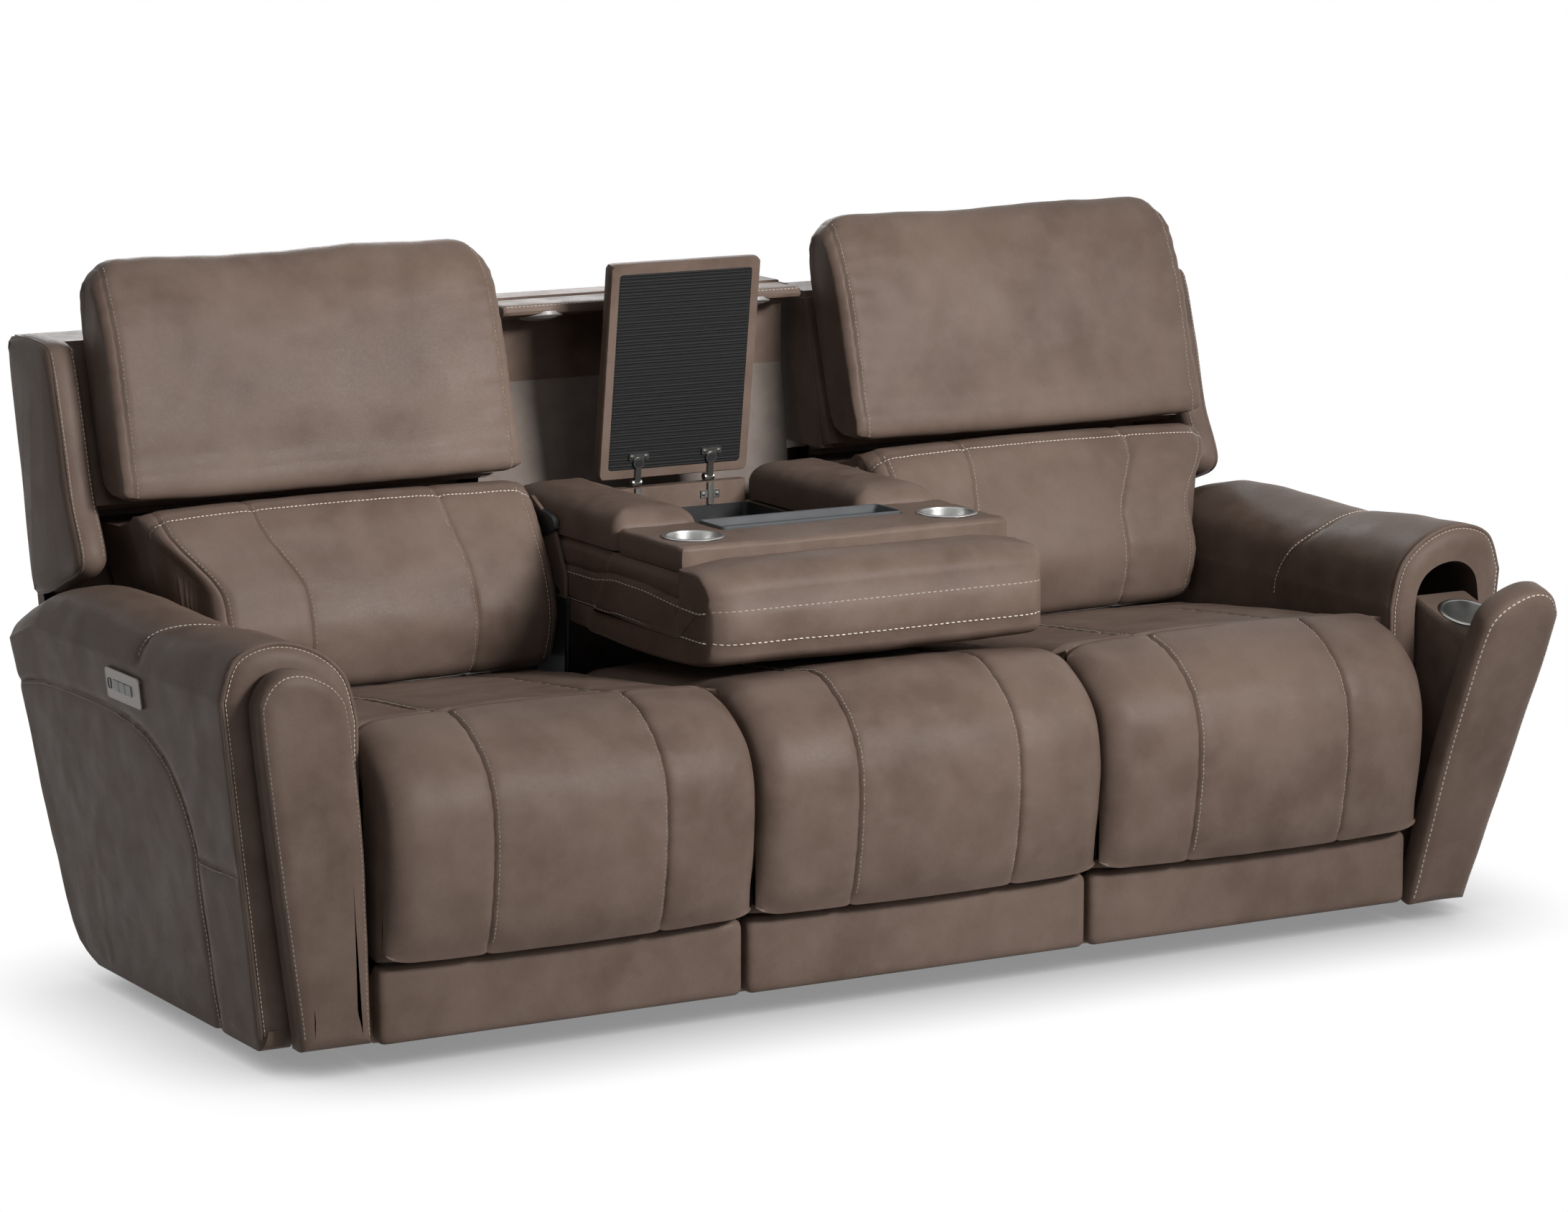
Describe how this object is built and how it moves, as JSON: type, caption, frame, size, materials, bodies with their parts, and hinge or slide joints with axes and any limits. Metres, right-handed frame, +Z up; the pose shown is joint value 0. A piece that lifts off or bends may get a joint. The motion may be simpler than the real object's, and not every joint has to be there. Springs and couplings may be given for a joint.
{
  "type": "power reclining sofa",
  "caption": "Leather power reclining sofa with padded seats, tilting headrests, scissor footrests, a fold-down console with cups and bin, a light hood and tilting arm pods.",
  "frame": {"origin": "under the middle of the sofa's box, on the floor", "axes": "+X along the sofa to the viewer's right, +Y from front to back, +Z up"},
  "size_m": [2.2256, 1.166, 1.08],
  "materials": {
    "leather": "mottled taupe-brown, soft sheen",
    "dark_leather": "darker backing cloth look",
    "wood": "plain hardwood",
    "steel": "grey powder coat",
    "cup_steel": "bright spun steel",
    "gunmetal": "satin gunmetal",
    "key_plastic": "light grey",
    "black_plastic": "black",
    "tray_plastic": "dark grey",
    "inset_fabric": "near-black ribbed weave",
    "felt": "grey felt",
    "lamp": "frosted grey"
  },
  "bodies": {
    "base": {"base_frame": "wood", "rear_base_panel": "dark_leather", "centre_kick_panel": "leather", "centre_seat_cushion": "leather", "centre_back_panel": "felt", "left_kick_panel": "leather", "left_arm": "leather", "left_seat_frame": "steel", "left_motor": "black_plastic", "left_seat_cushion": "leather", "left_console_bracket": "black_plastic", "left_control_plate": "gunmetal", "right_kick_panel": "leather", "right_arm": "leather", "right_seat_frame": "steel", "right_motor": "black_plastic", "right_seat_cushion": "leather", "right_console_bracket": "black_plastic", "right_control_plate": "gunmetal"},
    "left_back": {"left_back_shell": "leather", "left_lumbar_cushion": "leather"},
    "left_headrest": {"left_headrest_cushion": "leather", "left_headrest_bar": "steel"},
    "left_inner_link": {"left_inner_link": "steel"},
    "left_outer_link": {"left_outer_link": "steel"},
    "left_footrest": {"left_footrest_board": "wood", "left_footrest_pad": "leather"},
    "left_pod": {"left_pod": "leather", "left_pod_cup": "cup_steel"},
    "left_key_1": {"left_key_1": "key_plastic"},
    "left_key_2": {"left_key_2": "key_plastic"},
    "left_key_3": {"left_key_3": "key_plastic"},
    "right_back": {"right_back_shell": "leather", "right_lumbar_cushion": "leather"},
    "right_headrest": {"right_headrest_cushion": "leather", "right_headrest_bar": "steel"},
    "right_inner_link": {"right_inner_link": "steel"},
    "right_outer_link": {"right_outer_link": "steel"},
    "right_footrest": {"right_footrest_board": "wood", "right_footrest_pad": "leather"},
    "right_pod": {"right_pod": "leather", "right_pod_cup": "cup_steel"},
    "right_key_1": {"right_key_1": "key_plastic"},
    "right_key_2": {"right_key_2": "key_plastic"},
    "right_key_3": {"right_key_3": "key_plastic"},
    "console": {"console_cushion": "leather", "console_tub": "black_plastic", "console_slab": "leather", "tray": "tray_plastic", "left_console_pad": "leather", "right_console_pad": "leather", "left_cup": "cup_steel", "right_cup": "cup_steel"},
    "lid": {"lid_panel": "leather", "lid_inset": "inset_fabric", "left_lid_hinge": "cup_steel", "right_lid_hinge": "cup_steel"},
    "hood": {"hood": "leather", "left_light": "lamp", "right_light": "lamp"}
  },
  "joints": [
    {"name": "left_recline", "type": "hinge", "parent": "base", "child": "left_back", "pos_m": [-0.6, 0.224, 0.35], "axis": [-1, 0, 0], "range_deg": [0, 30]},
    {"name": "left_headrest_tilt", "type": "hinge", "parent": "left_back", "child": "left_headrest", "pos_m": [-0.6, 0.329, 0.77], "axis": [1, 0, 0], "range_deg": [0, 35]},
    {"name": "left_footrest_drive", "type": "hinge", "parent": "base", "child": "left_inner_link", "pos_m": [-0.6, -0.226, 0.33], "axis": [-1, 0, 0], "range_deg": [0, 81.89]},
    {"name": "left_link_elbow", "type": "hinge", "parent": "left_inner_link", "child": "left_outer_link", "pos_m": [-0.6, -0.17923, 0.12527], "axis": [1, 0, 0], "range_deg": [0, 109.78]},
    {"name": "left_footrest_turn", "type": "hinge", "parent": "left_outer_link", "child": "left_footrest", "pos_m": [-0.6, -0.336, 0.265], "axis": [-1, 0, 0], "range_deg": [0, 113.89]},
    {"name": "left_pod_tilt", "type": "hinge", "parent": "base", "child": "left_pod", "pos_m": [-1.00145, -0.371, 0.062], "axis": [1, 0, 0], "range_deg": [0, 17.5]},
    {"name": "left_key_1_rock", "type": "hinge", "parent": "base", "child": "left_key_1", "pos_m": [-1.10936, -0.0485, 0.50755], "axis": [-0.1053, 0, 0.9944], "range_deg": [-5, 5], "stiffness_Nm_per_rad": 0.02},
    {"name": "left_key_2_rock", "type": "hinge", "parent": "base", "child": "left_key_2", "pos_m": [-1.10936, -0.026, 0.50755], "axis": [-0.1053, 0, 0.9944], "range_deg": [-5, 5], "stiffness_Nm_per_rad": 0.02},
    {"name": "left_key_3_rock", "type": "hinge", "parent": "base", "child": "left_key_3", "pos_m": [-1.10936, -0.0035, 0.50755], "axis": [-0.1053, 0, 0.9944], "range_deg": [-5, 5], "stiffness_Nm_per_rad": 0.02},
    {"name": "right_recline", "type": "hinge", "parent": "base", "child": "right_back", "pos_m": [0.6, 0.224, 0.35], "axis": [-1, 0, 0], "range_deg": [0, 30]},
    {"name": "right_headrest_tilt", "type": "hinge", "parent": "right_back", "child": "right_headrest", "pos_m": [0.6, 0.329, 0.77], "axis": [1, 0, 0], "range_deg": [0, 35]},
    {"name": "right_footrest_drive", "type": "hinge", "parent": "base", "child": "right_inner_link", "pos_m": [0.6, -0.226, 0.33], "axis": [-1, 0, 0], "range_deg": [0, 81.89]},
    {"name": "right_link_elbow", "type": "hinge", "parent": "right_inner_link", "child": "right_outer_link", "pos_m": [0.6, -0.17923, 0.12527], "axis": [1, 0, 0], "range_deg": [0, 109.78]},
    {"name": "right_footrest_turn", "type": "hinge", "parent": "right_outer_link", "child": "right_footrest", "pos_m": [0.6, -0.336, 0.265], "axis": [-1, 0, 0], "range_deg": [0, 113.89]},
    {"name": "right_pod_tilt", "type": "hinge", "parent": "base", "child": "right_pod", "pos_m": [1.00145, -0.371, 0.062], "axis": [1, 0, 0], "range_deg": [-17.5, 0]},
    {"name": "right_key_1_rock", "type": "hinge", "parent": "base", "child": "right_key_1", "pos_m": [1.10936, -0.0485, 0.50755], "axis": [0.1053, 0, 0.9944], "range_deg": [-5, 5], "stiffness_Nm_per_rad": 0.02},
    {"name": "right_key_2_rock", "type": "hinge", "parent": "base", "child": "right_key_2", "pos_m": [1.10936, -0.026, 0.50755], "axis": [0.1053, 0, 0.9944], "range_deg": [-5, 5], "stiffness_Nm_per_rad": 0.02},
    {"name": "right_key_3_rock", "type": "hinge", "parent": "base", "child": "right_key_3", "pos_m": [1.10936, -0.0035, 0.50755], "axis": [0.1053, 0, 0.9944], "range_deg": [-5, 5], "stiffness_Nm_per_rad": 0.02},
    {"name": "console_fold", "type": "hinge", "parent": "base", "child": "console", "pos_m": [0, 0.174, 0.55], "axis": [-1, 0, 0], "range_deg": [0, 98]},
    {"name": "lid_close", "type": "hinge", "parent": "console", "child": "lid", "pos_m": [0, 0.348, 0.677], "axis": [1, 0, 0], "range_deg": [0, 82]},
    {"name": "hood_fold", "type": "hinge", "parent": "base", "child": "hood", "pos_m": [0, 0.475, 0.949], "axis": [1, 0, 0], "range_deg": [0, 80]}
  ],
  "couplings": [
    {"joint": "left_link_elbow", "follows": "left_footrest_drive", "ratio": 1.3405},
    {"joint": "left_footrest_turn", "follows": "left_footrest_drive", "ratio": 1.3907},
    {"joint": "right_link_elbow", "follows": "right_footrest_drive", "ratio": 1.3405},
    {"joint": "right_footrest_turn", "follows": "right_footrest_drive", "ratio": 1.3907},
    {"joint": "lid_close", "follows": "console_fold", "ratio": 0.83673}
  ]
}
